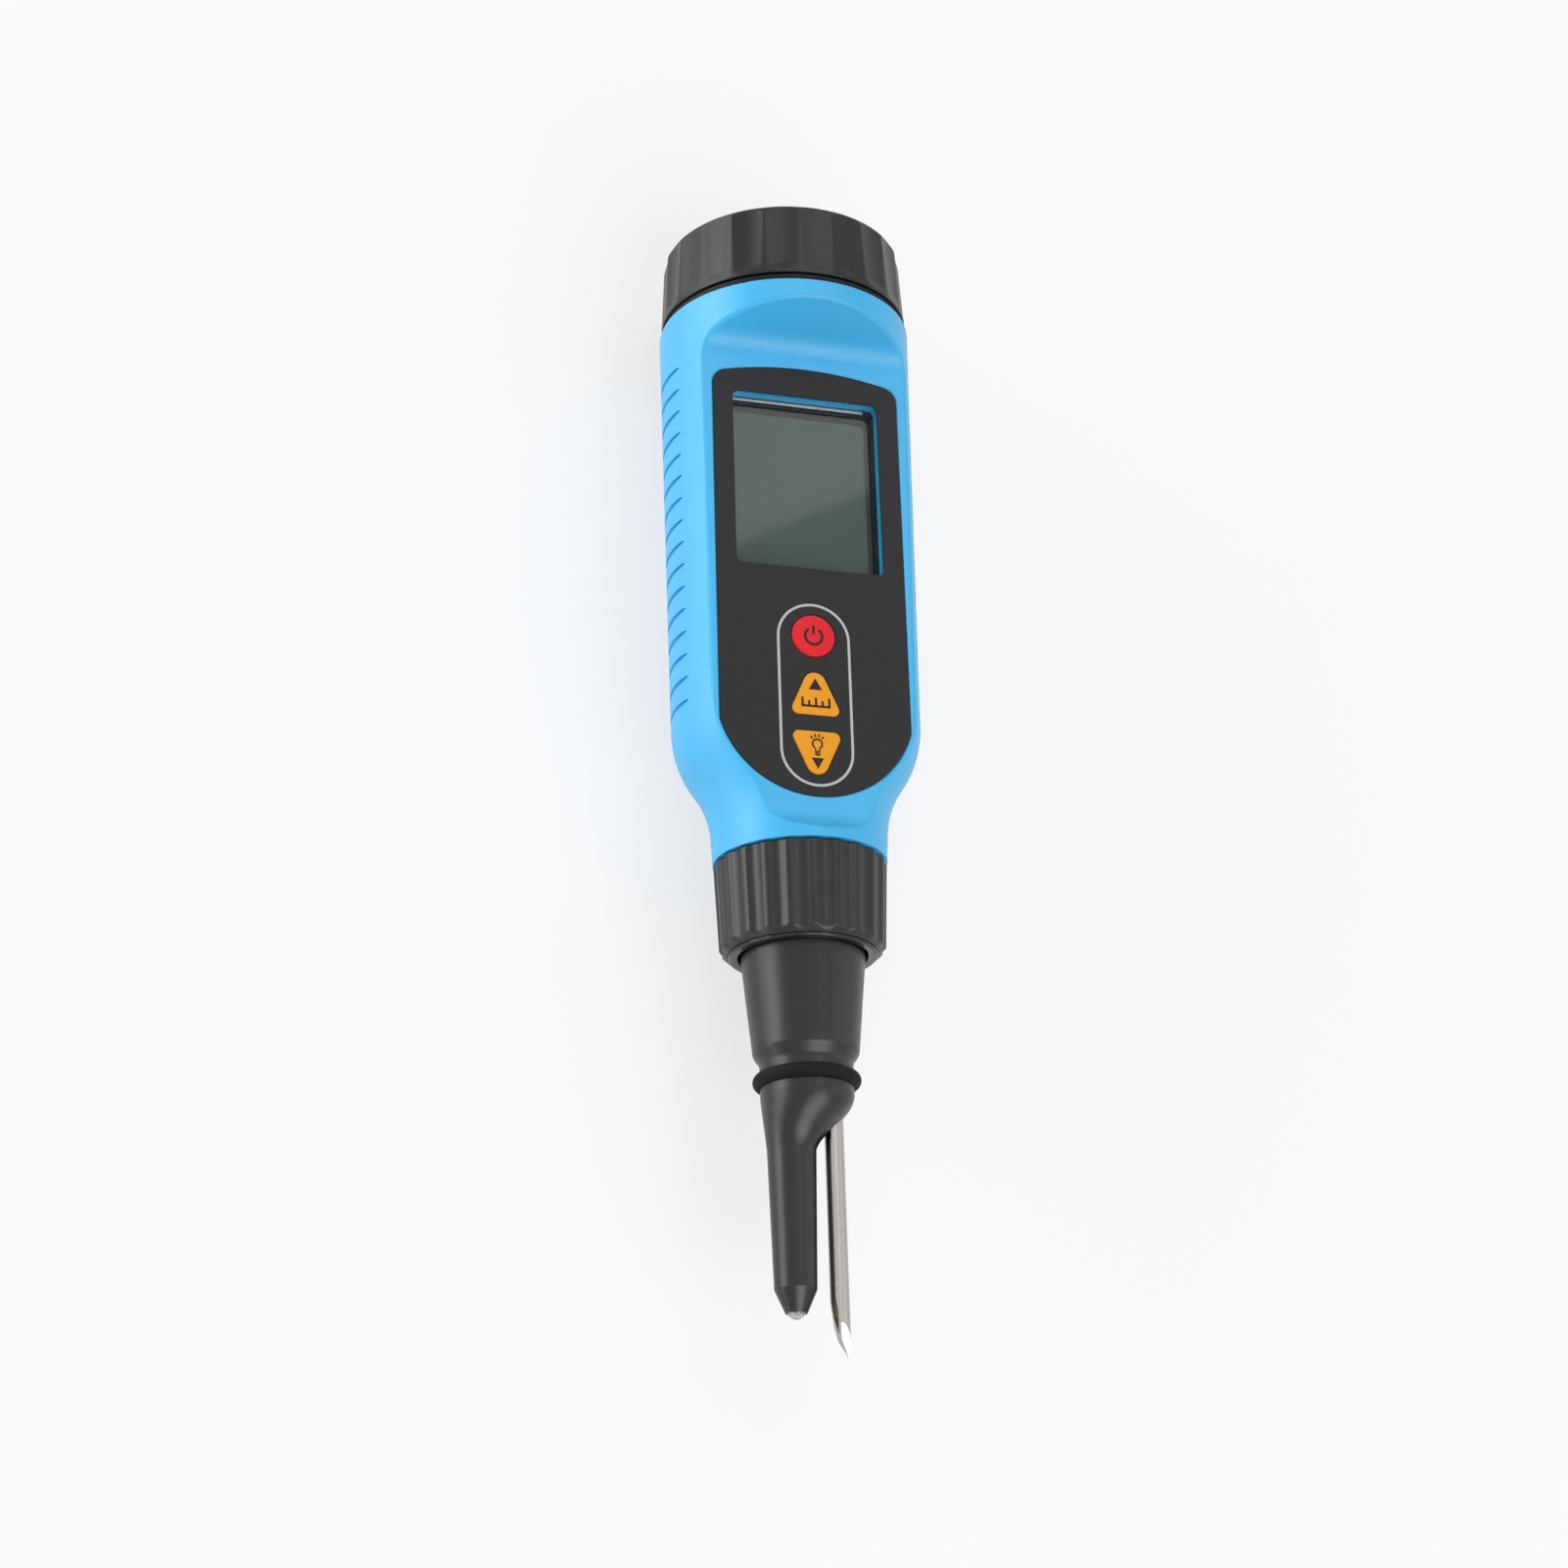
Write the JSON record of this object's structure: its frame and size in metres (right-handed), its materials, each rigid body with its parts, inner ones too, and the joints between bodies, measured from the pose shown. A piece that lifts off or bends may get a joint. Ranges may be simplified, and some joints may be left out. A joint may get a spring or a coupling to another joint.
{
  "type": "food ph meter",
  "caption": "Pen-style pH meter for food with a flat display face, keys, a screw cap and a slim glass electrode beside a piercing blade on a screwed collar.",
  "frame": {"origin": "bottom centre of the bounding box, with the meter lying on its back", "axes": "+Z out of the display face, +Y along the pen towards the battery cap, +X to the right of the face as it is read"},
  "size_m": [0.0398, 0.1784, 0.0396],
  "materials": {
    "blue_shell": "satin sky blue moulded plastic",
    "black_overlay": "matt near-black sheet",
    "clear_window": "clear plastic sheet",
    "bezel_metal": "pressed thin sheet",
    "lcd": "grey-green display glass, off",
    "light_guide": "milky clear plastic",
    "circuit_board": "green solder mask",
    "chip_black": "black moulded parts",
    "screw_steel": "plated steel",
    "inner_plastic": "dark grey moulded plastic",
    "cell_case": "plain sleeved AAA cell",
    "spring_steel": "nickel-plated wire",
    "contact_metal": "nickel-plated sheet",
    "black_plastic": "satin black moulded plastic",
    "black_rubber": "dull black rubber",
    "contact_brass": "gold-plated brass",
    "ribbon": "flat grey cable",
    "red_key": "red silicone-like key",
    "orange_key": "orange silicone-like key",
    "probe_plastic": "satin black moulded plastic",
    "blade_steel": "ground stainless steel",
    "electrode_glass": "clear thin glass",
    "silver": "silver wire",
    "gloss_ring": "glossy black ring"
  },
  "bodies": {
    "handle": {"body_shell": "blue_shell", "face_overlay": "black_overlay", "display_window": "clear_window", "lcd_bezel": "bezel_metal", "lcd_glass": "lcd", "light_guide": "light_guide", "main_board": "circuit_board", "board_chips": "chip_black", "board_screws": "screw_steel", "switch_housings": "chip_black", "chassis": "inner_plastic", "battery_cells": "cell_case", "cell_spring": "spring_steel", "cell_contact": "contact_metal", "battery_neck": "black_plastic", "cap_seal": "black_rubber", "socket_block": "inner_plastic", "socket_contacts": "contact_brass", "connector_board": "circuit_board", "ribbon_cable": "ribbon"},
    "cap_insert": {"contact_carrier": "inner_plastic", "bridge_contact": "contact_metal", "carrier_screw": "screw_steel"},
    "battery_cap": {"battery_cap": "black_plastic"},
    "power_key": {"power_key": "red_key", "power_plunger": "chip_black"},
    "up_key": {"up_key": "orange_key", "up_plunger": "chip_black"},
    "down_key": {"down_key": "orange_key", "down_plunger": "chip_black"},
    "probe": {"probe_body": "probe_plastic", "piercing_blade": "blade_steel", "storage_o_ring": "black_rubber", "plug_seal": "black_rubber", "plug_block": "inner_plastic", "plug_pins": "contact_brass", "electrode_bung": "black_rubber", "glass_electrode": "electrode_glass", "silver_wire": "silver", "reference_wire": "silver"},
    "collar": {"collar": "black_plastic", "collar_ring": "gloss_ring"}
  },
  "joints": [
    {"name": "cap_lift", "type": "slide", "parent": "handle", "child": "cap_insert", "axis": [0, 1, 0], "range_m": [0, 0.009]},
    {"name": "cap_turn", "type": "hinge", "parent": "cap_insert", "child": "battery_cap", "pos_m": [0, 0, 0.01962], "axis": [0, 1, 0], "range_deg": [0, 1080]},
    {"name": "probe_pull", "type": "slide", "parent": "handle", "child": "probe", "axis": [0, -1, 0], "range_m": [0, 0.0105]},
    {"name": "collar_turn", "type": "hinge", "parent": "probe", "child": "collar", "pos_m": [0, 0, 0.01962], "axis": [0, -1, 0], "range_deg": [0, 1260]},
    {"name": "power_press", "type": "slide", "parent": "handle", "child": "power_key", "axis": [0, 0, -1], "range_m": [0, 0.0004], "stiffness_N_per_m": 4000},
    {"name": "up_press", "type": "slide", "parent": "handle", "child": "up_key", "axis": [0, 0, -1], "range_m": [0, 0.0004], "stiffness_N_per_m": 4000},
    {"name": "down_press", "type": "slide", "parent": "handle", "child": "down_key", "axis": [0, 0, -1], "range_m": [0, 0.0004], "stiffness_N_per_m": 4000}
  ],
  "couplings": [
    {"joint": "cap_lift", "follows": "cap_turn", "m_per_rad": 0.00047746},
    {"joint": "probe_pull", "follows": "collar_turn", "m_per_rad": 0.00047746}
  ]
}
